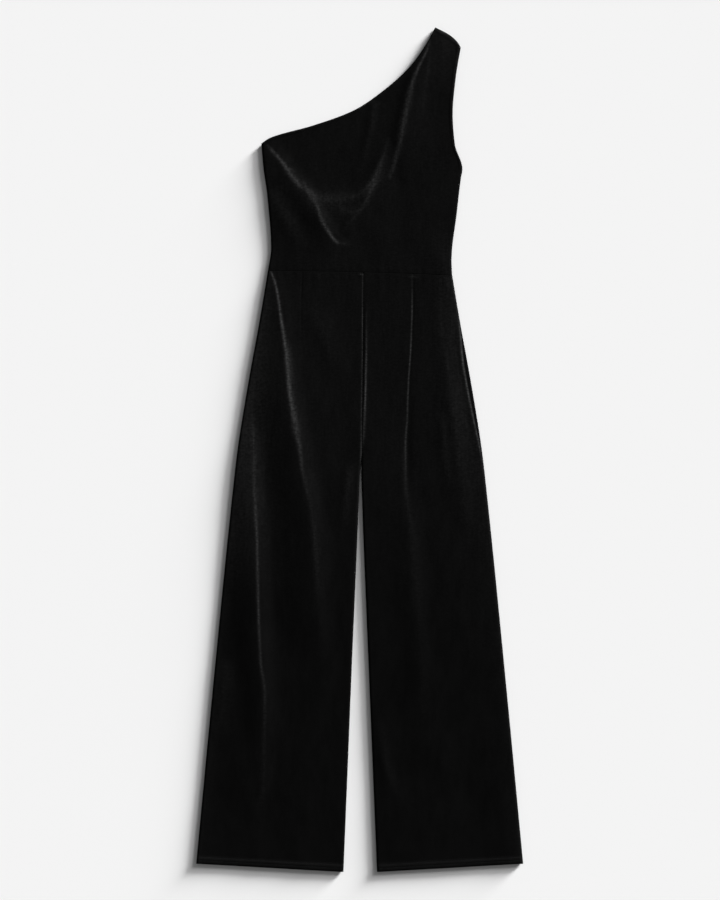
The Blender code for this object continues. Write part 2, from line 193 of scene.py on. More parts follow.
def outward_normals(outer, edge_loss, up):
    """Unit normals of a panel's outer face: level at a rolled edge, upright where it meets a neighbour."""
    normal = np.cross(np.gradient(outer, axis=1), np.gradient(outer, axis=0))
    normal *= np.sign(normal[..., 2:3]) * up
    level = np.zeros_like(outer)
    every = slice(None)
    borders = (
        ((every, 0), (every, 1)),
        ((every, -1), (every, -2)),
        ((0, every), (1, every)),
        ((-1, every), (-2, every)),
    )
    for border, inside in borders:
        run = np.gradient(outer[border], axis=0)
        out = np.stack([-run[:, 1], run[:, 0], 0 * run[:, 0]], -1)
        out *= np.sign((out * (outer[border] - outer[inside])).sum(-1, keepdims=True))
        level[border] += edge_loss[border][:, None] * out / np.linalg.norm(out, axis=-1, keepdims=True)
    for border, _ in borders:
        lean = np.minimum(np.linalg.norm(level[border], axis=-1, keepdims=True), 1)
        normal[border] = level[border] + (1 - lean) * [0, 0, up]
    return normal / np.linalg.norm(normal, axis=-1, keepdims=True)


def add_object(name, data):
    """An object of that data, in the scene and at the origin."""
    added = bpy.data.objects.new(name, data)
    bpy.context.scene.collection.objects.link(added)
    return added


def cloth_wall(name, outer, edge_loss, up, painted_sheen):
    """One panel: its pile side, its reverse side a cloth's thickness in, and the rims between them."""
    inner = outer - CLOTH * outward_normals(outer, edge_loss, up)
    rows, columns = outer.shape[:2]
    index = np.arange(rows * columns).reshape(rows, columns)
    skin = np.stack([index[:-1, :-1], index[:-1, 1:], index[1:, 1:], index[1:, :-1]], -1).reshape(-1, 4)
    rim = np.concatenate([index[0, :-1], index[:-1, -1], index[-1, :0:-1], index[:0:-1, 0]])
    after = np.roll(rim, -1)
    behind = rows * columns
    walls = np.stack([rim, after, after + behind, rim + behind], -1)
    points = np.concatenate([outer.reshape(-1, 3), inner.reshape(-1, 3)]) * METRES

    data = bpy.data.meshes.new(name)
    data.from_pydata(points.tolist(), [], np.concatenate([skin, skin + behind, walls]).tolist())
    edit = bmesh.new()
    edit.from_mesh(data)
    bmesh.ops.recalc_face_normals(edit, faces=edit.faces)
    edit.to_mesh(data)
    edit.free()
    smooth = np.arange(len(data.polygons)) < 2 * len(skin)  # the cut edges keep their corners
    data.polygons.foreach_set("use_smooth", smooth)
    # painted highlight and painted shade on the pile side, one value per point; the reverse has none
    pile = data.attributes.new("painted_sheen", "FLOAT", "POINT")
    both_sides = np.concatenate([painted_sheen.ravel(), 0 * painted_sheen.ravel()])
    pile.data.foreach_set("value", both_sides.astype(np.float32))
    data.materials.append(velvet)
    data.materials.append(velvet_reverse)
    side = np.zeros(len(data.polygons), np.int32)
    side[len(skin) : 2 * len(skin)] = 1
    data.polygons.foreach_set("material_index", side)
    return add_object(name, data)


def linear(code):
    """An sRGB colour, written as on a colour card, as the linear colour that a shader takes."""
    parts = [int(code[i : i + 2], 16) / 255 for i in (1, 3, 5)]
    return [c / 12.92 if c <= 0.04045 else ((c + 0.055) / 1.055) ** 2.4 for c in parts] + [1.0]


def new_material(name):
    """A material, with its node tree and its shader."""
    material = bpy.data.materials.new(name)
    material.use_nodes = True
    return material, material.node_tree, material.node_tree.nodes["Principled BSDF"]


def set_sockets(tree, node, sockets):
    """Each of these input sockets is linked to another node's output, or set to a value."""
    for socket, value in sockets.items():
        if isinstance(value, bpy.types.NodeSocket):
            tree.links.new(value, node.inputs[socket])
        else:
            node.inputs[socket].default_value = value


def add_node(tree, kind, sockets=None, **settings):
    """A node with its settings, and the links and values of its input sockets."""
    node = tree.nodes.new(kind)
    for name, value in settings.items():
        setattr(node, name, value)
    set_sockets(tree, node, sockets or {})
    return node


def black_stretch_velvet():
    """Polyester velvet knitted as two cloths and cut apart: a dense upright pile on a stretch ground.

    The pile swallows light that falls down into it, so the flats stay black. The lighter lines along the
    folds are painted highlight, a lighter base colour from a painted attribute, with painted shade where
    that is lowered.
    """
    material, tree, shader = new_material("black_stretch_velvet")
    place = add_node(tree, "ShaderNodeTexCoord").outputs["Object"]
    painted_highlight = add_node(tree, "ShaderNodeAttribute", attribute_name="painted_sheen").outputs["Fac"]

    # the patterns that follow the pile's run, which is down the length: how far each is drawn in along
    # it (under 1 it is drawn out), and its scale, detail and roughness
    patterns = (
        (0.09, 330.0, 3.0, 0.6),  # brush marks, 3 mm apart and about ten times as long
        (0.33, 50.0, 3.0, 0.6),  # where a hand ran over it: patches 20 mm wide, three times as long
        (1.7, 190.0, 2.0, 0.55),  # where it is crushed: flecks some 5 mm wide that lie across its run
    )
    noises = []
    for drawn_in, scale, detail, roughness in patterns:
        run = add_node(tree, "ShaderNodeMapping", {"Vector": place, "Scale": (1.0, drawn_in, 1.0)})
        noise = add_node(
            tree, "ShaderNodeTexNoise",
            {"Vector": run.outputs[0], "Scale": scale, "Detail": detail, "Roughness": roughness},
        )
        noises.append(noise.outputs["Fac"])
    marks, patches, flecks = noises
    # tufts, 0.3 mm across in the cloth, are drawn 1.5 mm across so that they show
    tufts = add_node(
        tree, "ShaderNodeTexNoise", {"Vector": place, "Scale": 650.0, "Detail": 1.0, "Roughness": 0.5}
    )
    uneven = add_node(
        tree, "ShaderNodeMapRange",
        {"Value": marks, "From Min": 0.3, "From Max": 0.7, "To Min": 0.7, "To Max": 1.3},
    )
    crushed = add_node(
        tree, "ShaderNodeMapRange",
        {"Value": flecks, "From Min": 0.33, "From Max": 0.67, "To Min": 0.5, "To Max": 1.5},
    )
    broken = add_node(
        tree, "ShaderNodeMath", {0: uneven.outputs[0], 1: crushed.outputs[0]}, operation="MULTIPLY"
    )
    # painted highlight: the panel's painted attribute, broken up by the brush marks and the flecks
    streaked = add_node(tree, "ShaderNodeMath", {0: painted_highlight, 1: broken.outputs[0]}, operation="MULTIPLY")
    patchy = add_node(
        tree, "ShaderNodeMapRange",
        {"Value": patches, "From Min": 0.3, "From Max": 0.7, "To Min": 0.0, "To Max": 0.009},
    )
    lightness = add_node(
        tree, "ShaderNodeMath", {0: streaked.outputs[0], 1: patchy.outputs[0]},
        operation="ADD", use_clamp=True,
    )
    # the velvet's own black, lightened towards the grey by the painted highlight along the folds and, a
    # little, by random patches
    colour = add_node(
        tree, "ShaderNodeMix",
        {"Factor": lightness.outputs[0], 6: linear("#070707"), 7: linear("#5a5a5a")}, data_type="RGBA",
    )
    relief = add_node(tree, "ShaderNodeMath", {0: marks, 1: tufts.outputs["Fac"]}, operation="ADD")
    bump = add_node(
        tree, "ShaderNodeBump", {"Height": relief.outputs[0], "Strength": 0.1, "Distance": 0.0004}
    )
    set_sockets(tree, shader, {
        "Base Color": colour.outputs[2], "Normal": bump.outputs[0],
        "Roughness": 0.6, "Specular IOR Level": 0.0,
        "Sheen Weight": 0.07, "Sheen Roughness": 0.3, "Sheen Tint": linear("#fffdfa"),
    })
    return material


def velvet_ground():
    """The reverse of the velvet: its plain knitted ground, matt black, with 0.9 mm stitch columns."""
    material, tree, shader = new_material("velvet_ground")
    place = add_node(tree, "ShaderNodeTexCoord").outputs["Object"]
    columns = add_node(
        tree, "ShaderNodeTexWave",
        {"Vector": place, "Scale": 170.0, "Distortion": 0.6, "Detail": 1.0}, bands_direction="X",
    )
    colour = add_node(
        tree, "ShaderNodeMix",
        {"Factor": columns.outputs["Fac"], 6: linear("#0a0a0a"), 7: linear("#151515")}, data_type="RGBA",
    )
    bump = add_node(
        tree, "ShaderNodeBump", {"Height": columns.outputs["Fac"], "Strength": 0.3, "Distance": 0.0002}
    )
    set_sockets(tree, shader, {
        "Base Color": colour.outputs[2], "Normal": bump.outputs[0],
        "Roughness": 0.9, "Specular IOR Level": 0.2,
    })
    return material


velvet = black_stretch_velvet()
velvet_reverse = velvet_ground()

BACK_LEG_GRID = {"columns": 44, "rows": 80}
BACK_RIM = EDGE_RADIUS - SEAM_GAP / 2  # how high a back's rolled edge comes up to meet the front's
CENTRE_BACK_DIP = 0.9  # depth of the groove along the centre back seam
CENTRE_BACK_DIP_WIDTH = 2.5
BACK_HEM_SHARE = 0.4  # of the hem's relief that is left where it lies on the surface
BACK_PILE = 0.01  # how far the pile of the backs is pressed open


def back_leg(side):
    points, from_side, from_inner, from_hem = leg_layout(side, **BACK_LEG_GRID, aside=BACK_SEAM_ASIDE)
    y = points[..., 1]
    loss = leg_edge_loss(y, from_side, from_inner, from_hem)
    lift = groove(from_inner, CENTRE_BACK_DIP, CENTRE_BACK_DIP_WIDTH) * (1 - inseam_closing(y))
    lift = lift + BACK_HEM_SHARE * (HEM_RISE - hem_relief(from_hem))
    outer = np.dstack([points, np.maximum(lift, 0) * (1 - loss) + loss * BACK_RIM])
    return outer, loss, BACK_PILE + 0 * loss


back_faces = {}
for wearer_side in ("right", "left"):
    face, edge_loss, painted_sheen = back_leg(wearer_side)
    back_faces[wearer_side] = face
    panel = cloth_wall("back_leg_" + wearer_side, face, edge_loss, -1, painted_sheen)
    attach(panel, "root")
    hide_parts("leg_back_" + wearer_side)

# ---------------------------------------------------------------------------------------------------
# Front trouser legs
# The two front panels, sewn together down the centre front, each with a stitched dart below the
# waist. They lie on the backs, and the slack in them falls into long folds down from waist and hip.
# ---------------------------------------------------------------------------------------------------
FRONT_HEIGHT = 6.4  # top of the fronts where they lie flat on the backs
SEAM_DIP = 0.22  # depth of the groove where two panels meet at the centre
SEAM_DIP_WIDTH = 1.8
WAIST_DIP = 0.025  # the waist seam is pressed open and nearly sinks into the pile
WAIST_DIP_WIDTH = 1.8
WAIST_PAINTED_SHADE = 0.65  # painted shade: share by which the colour beside it is darkened again
PUCKER = 0.15  # how far the cloth beside a seam stands up in small puckers
PUCKER_LENGTH = 17.0  # from one pucker to the next
PUCKER_REACH = 14.0  # how far from the seam they run out
PUCKER_START = 8.0  # how far from the seam they reach their height
PUCKER_BEAT = 28.0  # length of a second wave that makes them uneven
PUCKER_BEAT_SHARE = 0.6
CENTRE_PUCKER_SHARE = 0.6  # of the waist's puckers that the centre seam has
FRONT_LEG_GRID = {"columns": 160, "rows": 190}
RUN_STEPS = 90
FOLD_MERGING = 2.5  # 1 would add crossing folds up, and a high number would keep only the higher one
LINE_EDGE = 1.6  # how sharply a light line ends at its sides, where 2 is a bell curve
LIGHTNESS_AT_HEM = 0.003  # how light the colour is down at the hems
LIGHTNESS_AT_WAIST = 0.012  # and up at the waist
SHADING_FROM = -500
SHADING_TO = 200
HEM_HIGHLIGHT = 0.008  # painted highlight: how much lighter the colour is over the doubled hem
SIDE_HIGHLIGHT = 0.02  # painted highlight where the cloth bends round the side
SIDE_HIGHLIGHT_REACH = 9.0

# Slack between the folds: waves a few tenths of a millimetre high, how many of each fit in a metre
# across and along, and how far a slow wave bends it, in radians
SlackWave = namedtuple("SlackWave", "height across along bend")
SLACK_WAVES = (
    SlackWave(0.22, 8.4, 0.0, 1.3),
    SlackWave(0.18, 5.1, -1.1, 0.0),
    SlackWave(0.14, 0.0, 3.4, 1.7),
)
SLOW_WAVE = 450.0  # length of the slow wave

# Folds: the crest's height (negative for a crease), how far it lies to the left of the run, seen along
# it, the width of its two flanks, how much painted highlight lightens the colour along the run (painted
# shade where negative), and how wide that shows on each side. Each point of a run has its share of the
# height, of the painted highlight, and of that width, which is 1 where it isn't given.
Fold = namedtuple("Fold", "name height crest left right opening glow_left glow_right run")
RunPoint = namedtuple("RunPoint", "x y rise open spread", defaults=(1,))
RIGHT_LEG_FOLDS = (
    Fold("long fold from the waist", 6, -4, 20, 50, 0.3, 2.2, 2.2, (
        RunPoint(-165, 332, 0, 0.5, 0.6), RunPoint(-154, 300, 0.25, 1, 0.75),
        RunPoint(-145, 240, 0.4, 1, 0.9), RunPoint(-136, 180, 0.7, 0.8, 1.3),
        RunPoint(-131, 120, 0.9, 0.75, 1.4), RunPoint(-126, 80, 1, 0.5, 1.6),
        RunPoint(-119, 40, 1, 0.25, 2.4), RunPoint(-111, 0, 1, 0.3, 1.5),
        RunPoint(-106, -40, 0.9, 0.2, 1.4), RunPoint(-91, -106, 0.8, 0.05, 2),
        RunPoint(-82, -180, 0.7, 0.1, 2.4), RunPoint(-76, -300, 0.5, 0, 2.4),
        RunPoint(-70, -410, 0, 0, 2.4))),
    # painted highlight only: no relief, the colour is lightened beside the long fold
    Fold("painted highlight beside the long fold", 0, 0, 1, 1, 0.05, 5, 4, (
        RunPoint(-134, 210, 0, 0, 0.7), RunPoint(-130, 170, 0, 1), RunPoint(-126, 110, 0, 0.6),
        RunPoint(-119, 55, 0, 1, 1.1), RunPoint(-115, 25, 0, 0.7), RunPoint(-108, -10, 0, 0, 0.8))),
    Fold("outer fold of the leg", 4.6, -4, 20, 36, 0.13, 2.1, 2.5, (
        RunPoint(-198, 70, 0, 0.1, 1.3), RunPoint(-196, 20, 0.3, 0.35, 1.5),
        RunPoint(-195, -60, 0.7, 0.45, 1.5), RunPoint(-190, -160, 1, 1), RunPoint(-187, -290, 1, 0.9, 0.9),
        RunPoint(-183, -390, 0.9, 0.6), RunPoint(-175, -455, 0.8, 0.4, 1.4),
        RunPoint(-177, -560, 0.5, 0.1, 1.6), RunPoint(-178, -620, 0.4, 0.1, 2),
        RunPoint(-192, -690, 0, 0, 2))),
    Fold("puff below the dart", 1.2, 0, 22, 22, 0.011, 9, 9, (
        RunPoint(-84, 268, 0, 0), RunPoint(-78, 245, 0.7, 1), RunPoint(-66, 215, 1, 1),
        RunPoint(-54, 180, 0.9, 0.7), RunPoint(-38, 112, 0, 0))),
    Fold("drag line at the inseam", 1, 0, 12, 14, 0.02, 6, 6, (
        RunPoint(-16, -20, 0, 0), RunPoint(-22, -60, 1, 1), RunPoint(-26, -110, 0.7, 0.6),
        RunPoint(-34, -170, 0, 0))),
    Fold("stitched dart", -0.2, 2, 1.5, 1.5, 0.008, 1.5, 1.5, (
        RunPoint(-108, 326, 1, 1), RunPoint(-110, 260, 1, 1), RunPoint(-110, 196, 0, 0))),
    # painted highlight only, along the centre seam's pressed edge
    Fold("painted highlight on the centre seam's pressed edge", 0, 0, 1, 1, 0.2, 1, 1, (
        RunPoint(5.5, 324, 0, 0.3), RunPoint(5.5, 270, 0, 0.4), RunPoint(5.5, 245, 0, 0.9),
        RunPoint(5, 160, 0, 0.6), RunPoint(4, 110, 0, 0.5), RunPoint(3.5, 60, 0, 0.4, 1.4),
        RunPoint(3, 0, 0, 0.8, 1.4), RunPoint(1, -30, 0, 0, 1.2))),
    Fold("centre seam's end at the waist", 0.3, 0, 3, 3, 0.12, 1.2, 1.2, (
        RunPoint(-2, 324, 0, 0.6), RunPoint(1, 324, 1, 1), RunPoint(6, 324, 0.5, 0.8))),
    # a low rise with painted sheen over a broad band of the hip
    Fold("painted sheen on the hip", 1.2, 0, 36, 36, 0.04, 34, 40, (
        RunPoint(-178, 300, 0, 0.4, 0.4), RunPoint(-190, 180, 0.6, 0.8, 0.7), RunPoint(-205, 60, 1, 1),
        RunPoint(-216, -90, 0.9, 0.8), RunPoint(-224, -300, 0, 0))),
    # a low rise with painted sheen above the ankle
    Fold("patch above the ankle with painted sheen", 0.8, 0, 26, 26, 0.014, 16, 16, (
        RunPoint(-250, -375, 0, 0), RunPoint(-246, -420, 1, 1), RunPoint(-252, -470, 0.8, 0.8),
        RunPoint(-272, -560, 0, 0.1))),
)
LEFT_LEG_FOLDS = (
    Fold("stitched dart", -0.25, 2, 2, 2, 0.16, 1, 1.1, (
        RunPoint(97, 326, 0.6, 0.1), RunPoint(97, 296, 0.8, 0.3), RunPoint(97, 270, 1, 0.8),
        RunPoint(95, 200, 1, 1), RunPoint(90, 120, 0.9, 1), RunPoint(88, 72, 0, 0.5))),
    Fold("dart's end at the waist", 0.3, 0, 3, 3, 0.04, 1.4, 1.4, (
        RunPoint(89, 319, 0, 0.4), RunPoint(97, 320, 1, 1), RunPoint(106, 319, 0, 0.4))),
    Fold("crease below the dart", -1, 3, 8, 8, 0.14, 1.5, 1.8, (
        RunPoint(90, 105, 0, 0.2, 0.7), RunPoint(88, 56, 0.6, 0.9, 0.8), RunPoint(86, 30, 0.9, 1, 0.9),
        RunPoint(85, 0, 1, 0.8), RunPoint(85, -40, 0.8, 0.4, 1.4), RunPoint(87, -75, 0.5, 0.2, 1.8),
        RunPoint(94, -142, 0, 0, 2))),
    Fold("long roll beside the crease", 2, -4, 20, 34, 0.014, 6, 6, (
        RunPoint(78, 30, 0, 0), RunPoint(86, -75, 0.7, 0.3), RunPoint(95, -135, 0.9, 1),
        RunPoint(102, -225, 1, 0.8, 1.2), RunPoint(113, -370, 0.8, 0.3, 1.4), RunPoint(120, -600, 0, 0))),
    Fold("edge of the centre seam's allowance", 0.4, 0, 3, 3, 0.32, 1.4, 1.2, (
        RunPoint(12, 262, 0.5, 0, 0.8), RunPoint(12, 190, 1, 0.5, 0.9), RunPoint(11, 140, 1, 0.9),
        RunPoint(10, 95, 1, 1), RunPoint(8, 55, 1, 0.45, 1.5), RunPoint(7, 25, 0.5, 0.3, 1.5),
        RunPoint(5, -10, 0, 0))),
    Fold("rolled hip edge", 0.6, 0, 6, 10, 0.31, 1.1, 1.5, (
        RunPoint(183, 240, 0, 0.1, 0.8), RunPoint(187, 205, 0.9, 0.9), RunPoint(190, 170, 1, 1, 1.2),
        RunPoint(197, 125, 1, 1), RunPoint(212, 50, 1, 1, 0.9), RunPoint(221, 8, 0.5, 0.7, 0.8),
        RunPoint(226, -20, 0, 0, 0.8))),
    # painted shade only: the colour is darkened where the side turns down
    Fold("side turned down outside the hip edge", 0, 0, 1, 1, -0.08, 2.4, 2.4, (
        RunPoint(186, 245, 0, 0.2, 0.6), RunPoint(191, 200, 0, 1), RunPoint(196, 160, 0, 1),
        RunPoint(203, 120, 0, 1, 1.2), RunPoint(217, 40, 0, 1), RunPoint(223, 8, 0, 0.4, 0.7),
        RunPoint(228, -20, 0, 0, 0.6))),
    Fold("hip roll", 1.8, 0, 16, 24, 0.014, 7, 9, (
        RunPoint(157, 240, 0, 0.2), RunPoint(164, 165, 0.5, 0.8), RunPoint(176, 70, 1, 1),
        RunPoint(192, -96, 0.8, 0.6), RunPoint(200, -190, 0, 0))),
    Fold("soft band inside the hip", 1, 0, 10, 12, 0.012, 7, 7, (
        RunPoint(150, 90, 0, 0), RunPoint(155, 40, 1, 1), RunPoint(159, -20, 0.9, 0.8),
        RunPoint(168, -90, 0, 0))),
    # painted sheen only, in a streak down the hip
    Fold("painted sheen streak down the hip", 0, 0, 1, 1, 0.014, 3, 4, (
        RunPoint(150, 322, 0, 0.6), RunPoint(151, 240, 0, 1), RunPoint(161, 165, 0, 0.9),
        RunPoint(171, 90, 0, 0.8), RunPoint(182, 10, 0, 1), RunPoint(188, -60, 0, 0))),
    # painted sheen only, over a broad band of the hip
    Fold("painted sheen on the hip", 0, 0, 30, 30, 0.02, 20, 40, (
        RunPoint(172, 320, 0, 1, 0.6), RunPoint(208, 80, 0, 0.9), RunPoint(240, -170, 0, 0.3),
        RunPoint(280, -560, 0, 0))),
    Fold("drag line above the hem", 1.4, 0, 12, 16, 0.01, 7, 7, (
        RunPoint(38, -500, 0, 0), RunPoint(44, -560, 1, 1), RunPoint(56, -610, 0.8, 1),
        RunPoint(68, -650, 0, 0))),
)


def points_along(table, count):
    """Points evenly spaced along the smooth curve through a table's places.

    Returned with how far along the curve each point is, and each of the table's places.
    """
    x, y = np.array([(place.x, place.y) for place in table], float).T
    stations = np.concatenate([[0], np.cumsum(np.hypot(np.diff(x), np.diff(y)))])
    along = np.linspace(0, stations[-1], count)
    points = np.stack([curve_through(stations, x)(along), curve_through(stations, y)(along)], -1)
    return points, along, stations


def beside_run(x, y, run):
    """How far along a run each point's nearest place is, and how far the point is to the left of it."""
    crest, along, _ = points_along(run, RUN_STEPS + 1)
    nearest, place, offset = np.full(x.shape, np.inf), np.zeros(x.shape), np.zeros(x.shape)
    for start, end, begins in zip(crest[:-1], crest[1:], along[:-1]):
        way = end - start
        length = np.hypot(*way)
        dx, dy = x - start[0], y - start[1]
        share = np.clip((dx * way[0] + dy * way[1]) / length**2, 0, 1)
        distance = np.hypot(dx - share * way[0], dy - share * way[1])
        closer = distance < nearest
        nearest = np.where(closer, distance, nearest)
        place = np.where(closer, begins + share * length, place)
        offset = np.where(closer, np.sign(way[0] * dy - way[1] * dx) * distance, offset)
    return place, offset


def lay_folds(x, y, folds):
    """How far the folds lift the cloth, one soft crest each, and the painted highlight along them, painted
    shade where it is negative.
    """
    raised, creased, painted_highlight = np.zeros_like(x), np.zeros_like(x), np.zeros_like(x)
    for fold in folds:
        place, offset = beside_run(x, y, fold.run)
        stations = points_along(fold.run, 2)[2]
        rise, opening, spread = (
            curve_through(stations, [getattr(point, share) for point in fold.run])(place)
            for share in ("rise", "open", "spread")
        )
        flank = np.where(offset > fold.crest, fold.left, fold.right)
        height = fold.height * rise * np.exp(-(((offset - fold.crest) / flank) ** 2))
        raised += np.maximum(height, 0) ** FOLD_MERGING
        creased += np.minimum(height, 0)
        glow = np.where(offset > 0, fold.glow_left, fold.glow_right) * spread
        painted_highlight += fold.opening * opening * np.exp(-(np.abs(offset / glow) ** LINE_EDGE))
    return raised ** (1 / FOLD_MERGING) + creased, painted_highlight


def waving(length, along):
    return np.sin(2 * math.pi * along / length)


def puckers(along, from_seam):
    """Small puckers where the thread draws a seam in, uneven along it and gone a little way off."""
    wave = waving(PUCKER_LENGTH, along) + PUCKER_BEAT_SHARE * waving(PUCKER_BEAT, along)
    near = np.exp(-from_seam / PUCKER_REACH) * smooth_step(0, PUCKER_START, from_seam)
    return PUCKER * (1 + wave) * near


def slackness(x, y):
    """The cloth's slight unevenness between the folds."""
    bend = waving(SLOW_WAVE, x + y)
    lift = np.zeros_like(x)
    for wave in SLACK_WAVES:
        turns = METRES * (wave.across * x + wave.along * y)
        lift += wave.height * np.sin(2 * math.pi * turns + wave.bend * bend)
    return lift


def clear_of_roll(distance):
    """0 on a rolled edge, 1 clear of it: a groove ends before the closed seam that it runs into."""
    return smooth_step(EDGE_RADIUS, 3 * EDGE_RADIUS, distance)


def front_face(points, lift, edge_loss):
    """Outer face of a front panel: over the back, with its relief and its rolled edges."""
    top = FRONT_HEIGHT + lift
    rim = EDGE_RADIUS + SEAM_GAP / 2
    return np.dstack([points, top - edge_loss * (top - rim)])


def down_shading(y):
    """A little lighter towards the waist than at the hems."""
    return LIGHTNESS_AT_HEM + (LIGHTNESS_AT_WAIST - LIGHTNESS_AT_HEM) * smooth_step(SHADING_FROM, SHADING_TO, y)


def front_leg(side, folds):
    points, from_side, from_inner, from_hem = leg_layout(side, **FRONT_LEG_GRID)
    x, y = points[..., 0], points[..., 1]
    loss = leg_edge_loss(y, from_side, from_inner, from_hem)
    raised, painted_highlight = lay_folds(x, y, folds)
    below_waist = waist_seam(x) - y
    sewn = 1 - inseam_closing(y)
    dip = np.maximum(
        groove(from_inner, SEAM_DIP, SEAM_DIP_WIDTH) * sewn,
        groove(below_waist, WAIST_DIP, WAIST_DIP_WIDTH) * clear_of_roll(from_side),
    )
    lift = raised - dip + slackness(x, y) + hem_relief(from_hem)
    lift = lift + puckers(x, below_waist) + puckers(y, from_inner) * sewn * CENTRE_PUCKER_SHARE
    # painted highlight over the doubled hem and where the cloth bends round the side, and painted shade
    # beside the waist seam
    painted_highlight = painted_highlight + down_shading(y) + HEM_HIGHLIGHT * (from_hem < HEM_DEPTH)
    painted_highlight = painted_highlight + SIDE_HIGHLIGHT * np.exp(-from_side / SIDE_HIGHLIGHT_REACH)
    painted_highlight = painted_highlight * (1 - groove(below_waist, WAIST_PAINTED_SHADE, WAIST_DIP_WIDTH))
    return front_face(points, lift, loss), loss, painted_highlight


front_faces = {}
for wearer_side, folds in (("right", RIGHT_LEG_FOLDS), ("left", LEFT_LEG_FOLDS)):
    face, edge_loss, painted_sheen = front_leg(wearer_side, folds)
    front_faces[wearer_side] = face
    panel = cloth_wall("front_leg_" + wearer_side, face, edge_loss, 1, painted_sheen)
    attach(panel, "root")
    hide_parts("leg_front_" + wearer_side)

# ---------------------------------------------------------------------------------------------------
# Hem stitches
# Black polyester thread, sewn with a twin needle: two rows across each panel, 6 mm apart, that hold
# the turned-up hem. The pile stands up round them, so only their tops show.
# ---------------------------------------------------------------------------------------------------
STITCH_PITCH = 3.7  # from one stitch to the next
STITCH_LENGTH = 3.0
THREAD = 0.45
LOWEST_STITCH = 0.6 * THREAD  # how far above the table a stitch's middle is at least
FIRST_STITCH = 5.0  # from the side seam or the inseam
STITCH_SEED = 4


def stitch_line(face, layout, row):
    """The points of one row of stitches across a leg panel, at the height of its cloth."""
    _, from_side, from_inner, from_hem = layout
    clear = (from_side[-1] > FIRST_STITCH) & (from_inner[-1] > FIRST_STITCH)
    up_from_hem = from_hem[::-1, 0]
    return np.array([
        [np.interp(row, up_from_hem, face[::-1, column, axis]) for axis in range(3)]
        for column in np.flatnonzero(clear)
    ])


def polyester_thread():
    """Spun polyester sewing thread, dyed black: smoother than the pile, so it glints a little."""
    material, tree, shader = new_material("polyester_thread")
    dyed = {"Base Color": linear("#0c0c0d"), "Roughness": 0.5, "Specular IOR Level": 0.15}
    set_sockets(tree, shader, dyed)
    return material


def twin_needle_tree():
    """Geometry Nodes that set one stitch after another along guide lines."""
    tree = bpy.data.node_groups.new("twin_needle_stitches", "GeometryNodeTree")
    inputs = (
        ("Guides", "NodeSocketGeometry"), ("Pitch", "NodeSocketFloat"), ("Length", "NodeSocketFloat"),
        ("Thread", "NodeSocketFloat"), ("Seed", "NodeSocketInt"), ("Material", "NodeSocketMaterial"),
    )
    for name, kind in inputs:
        tree.interface.new_socket(name, in_out="INPUT", socket_type=kind)
    tree.interface.new_socket("Stitches", in_out="OUTPUT", socket_type="NodeSocketGeometry")
    given = add_node(tree, "NodeGroupInput").outputs
    lines = add_node(tree, "GeometryNodeMeshToCurve", {"Mesh": given["Guides"]})
    places = add_node(
        tree, "GeometryNodeResampleCurve",
        {"Curve": lines.outputs[0], "Length": given["Pitch"]}, mode="LENGTH",
    )
    along = add_node(tree, "GeometryNodeInputTangent")
    turn = add_node(tree, "FunctionNodeAlignRotationToVector", {"Vector": along.outputs[0]}, axis="X")
    # a bead one unit across, drawn out to a stitch's length and thickness
    bead = add_node(tree, "GeometryNodeMeshUVSphere", {"Segments": 8, "Rings": 4, "Radius": 0.5})
    size = add_node(
        tree, "ShaderNodeCombineXYZ", {"X": given["Length"], "Y": given["Thread"], "Z": given["Thread"]}
    )
    stitch = add_node(
        tree, "GeometryNodeTransform", {"Geometry": bead.outputs["Mesh"], "Scale": size.outputs[0]}
    )
    uneven = add_node(
        tree, "FunctionNodeRandomValue",
        {0: (0.9, 0.85, 0.85), 1: (1.05, 1.1, 1.1), "Seed": given["Seed"]}, data_type="FLOAT_VECTOR",
    )
    sewn = add_node(
        tree, "GeometryNodeInstanceOnPoints",
        {"Points": places.outputs[0], "Instance": stitch.outputs[0],
         "Rotation": turn.outputs[0], "Scale": uneven.outputs[0]},
    )
    real = add_node(tree, "GeometryNodeRealizeInstances", {"Geometry": sewn.outputs[0]})
    dyed = add_node(
        tree, "GeometryNodeSetMaterial", {"Geometry": real.outputs[0], "Material": given["Material"]}
    )
    add_node(tree, "NodeGroupOutput", {"Stitches": dyed.outputs[0]})
    return tree


def sew_hems():
    corners, edges = [], []
    for side in ("right", "left"):
        for face, grid in ((back_faces[side], BACK_LEG_GRID), (front_faces[side], FRONT_LEG_GRID)):
            for row in HEM_ROWS:
                line = stitch_line(face, leg_layout(side, **grid), row)
                line[:, 2] = np.maximum(line[:, 2], LOWEST_STITCH)
                first = len(corners)
                corners += (line * METRES).tolist()
                edges += [(first + i, first + i + 1) for i in range(len(line) - 1)]
    guide_data = bpy.data.meshes.new("hem_guides")
    guide_data.from_pydata(corners, edges, [])
    guides = add_object("hem_guides", guide_data)
    tree = twin_needle_tree()
    modifier = guides.modifiers.new("stitches", "NODES")
    modifier.node_group = tree
    sizes = {
        "Pitch": STITCH_PITCH * METRES, "Length": STITCH_LENGTH * METRES, "Thread": THREAD * METRES,
        "Seed": STITCH_SEED, "Material": polyester_thread(),
    }
    for socket in tree.interface.items_tree:
        if socket.in_out == "INPUT" and socket.name in sizes:
            modifier[socket.identifier] = sizes[socket.name]
    finished = guides.evaluated_get(bpy.context.evaluated_depsgraph_get())
    data = bpy.data.meshes.new_from_object(finished)
    data.shade_smooth()
    stitches = add_object("hem_stitches", data)
    bpy.data.objects.remove(guides)
    return stitches


hem_stitches = sew_hems()
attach(hem_stitches, "root")

